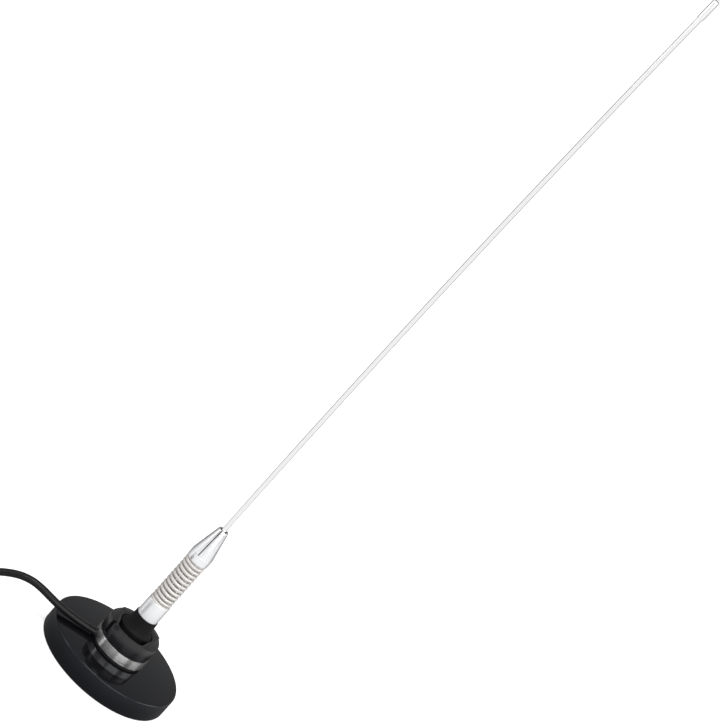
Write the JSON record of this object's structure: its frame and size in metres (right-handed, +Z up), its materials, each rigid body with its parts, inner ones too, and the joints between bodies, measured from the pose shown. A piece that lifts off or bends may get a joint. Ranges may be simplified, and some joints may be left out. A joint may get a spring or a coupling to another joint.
{
  "type": "dual-band mobile antenna",
  "caption": "Whip antenna on a coil spring and a round magnetic base, with a side-exit coaxial cable that ends in a screw-on plug.",
  "frame": {"origin": "middle of the magnetic base's underside, on the surface that it stands on", "axes": "+Z up along the stem; the cable leaves the hub along -X"},
  "size_m": [0.2343, 0.1093, 0.5424],
  "materials": {
    "cover_paint": "gloss black",
    "plate_steel": "zinc plated",
    "magnet_ferrite": "matte sintered ferrite",
    "pad_rubber": "matte",
    "screw_steel": "zinc plated",
    "gasket_rubber": "matte",
    "ring_steel": "brushed gunmetal",
    "post_brass": "nickel plated brass",
    "white_plastic": "waxy white",
    "contact_brass": "polished",
    "copper_wire": "bare copper",
    "gland_rubber": "satin",
    "collar_plastic": "semi-gloss moulded black",
    "nut_steel": "nickel plated",
    "boot_rubber": "matte",
    "ferrule_chrome": "polished",
    "spring_steel": "satin nickel",
    "collet_chrome": "polished",
    "grub_steel": "black oxide",
    "whip_steel": "bright drawn stainless",
    "cap_steel": "bright",
    "cable_jacket": "satin jacket",
    "tie_plastic": "woven strap",
    "plug_nickel": "nickel plated"
  },
  "bodies": {
    "base": {"base_cover": "cover_paint", "pole_plate": "plate_steel", "magnet": "magnet_ferrite", "base_pad": "pad_rubber", "mount_screw_a": "screw_steel", "mount_screw_b": "screw_steel", "mount_screw_c": "screw_steel", "gasket": "gasket_rubber", "ring": "ring_steel", "post": "post_brass", "insulator": "white_plastic", "centre_contact": "contact_brass", "inner_lead": "copper_wire", "cable_gland": "gland_rubber", "collar": "collar_plastic", "lock_nut": "nut_steel", "contact_pin": "contact_brass", "boot": "boot_rubber", "ferrule": "ferrule_chrome", "cable": "cable_jacket", "cable_coil": "cable_jacket", "coil_tie": "tie_plastic", "cable_tail": "cable_jacket", "plug_relief": "gland_rubber", "plug_body": "plug_nickel", "plug_insulator": "white_plastic", "plug_pin": "contact_brass"},
    "spring": {"spring": "spring_steel", "braid": "copper_wire"},
    "head": {"collet": "collet_chrome", "grub_low_screw": "grub_steel", "grub_high_screw": "grub_steel"},
    "whip": {"whip": "whip_steel", "tip_cap": "cap_steel"},
    "plug_nut": {"plug_nut": "plug_nickel"}
  },
  "joints": [
    {"name": "spring_bend_x", "type": "hinge", "parent": "base", "child": "spring", "pos_m": [0, 0, 0.064], "axis": [0, 1, 0], "range_deg": [-40, 40], "stiffness_Nm_per_rad": 0.9, "deforming": ["spring", "braid"]},
    {"name": "spring_bend_y", "type": "hinge", "parent": "spring", "child": "head", "pos_m": [0, 0, 0.0815], "axis": [1, 0, 0], "range_deg": [-40, 40], "stiffness_Nm_per_rad": 0.9, "deforming": ["spring", "braid"]},
    {"name": "whip_slide", "type": "slide", "parent": "head", "child": "whip", "axis": [0, 0, 1], "range_m": [-0.003, 0.008]},
    {"name": "nut_spin", "type": "hinge", "parent": "base", "child": "plug_nut", "pos_m": [-0.1204, -0.049, 0.0291], "axis": [1, 0, 0], "continuous": true}
  ]
}
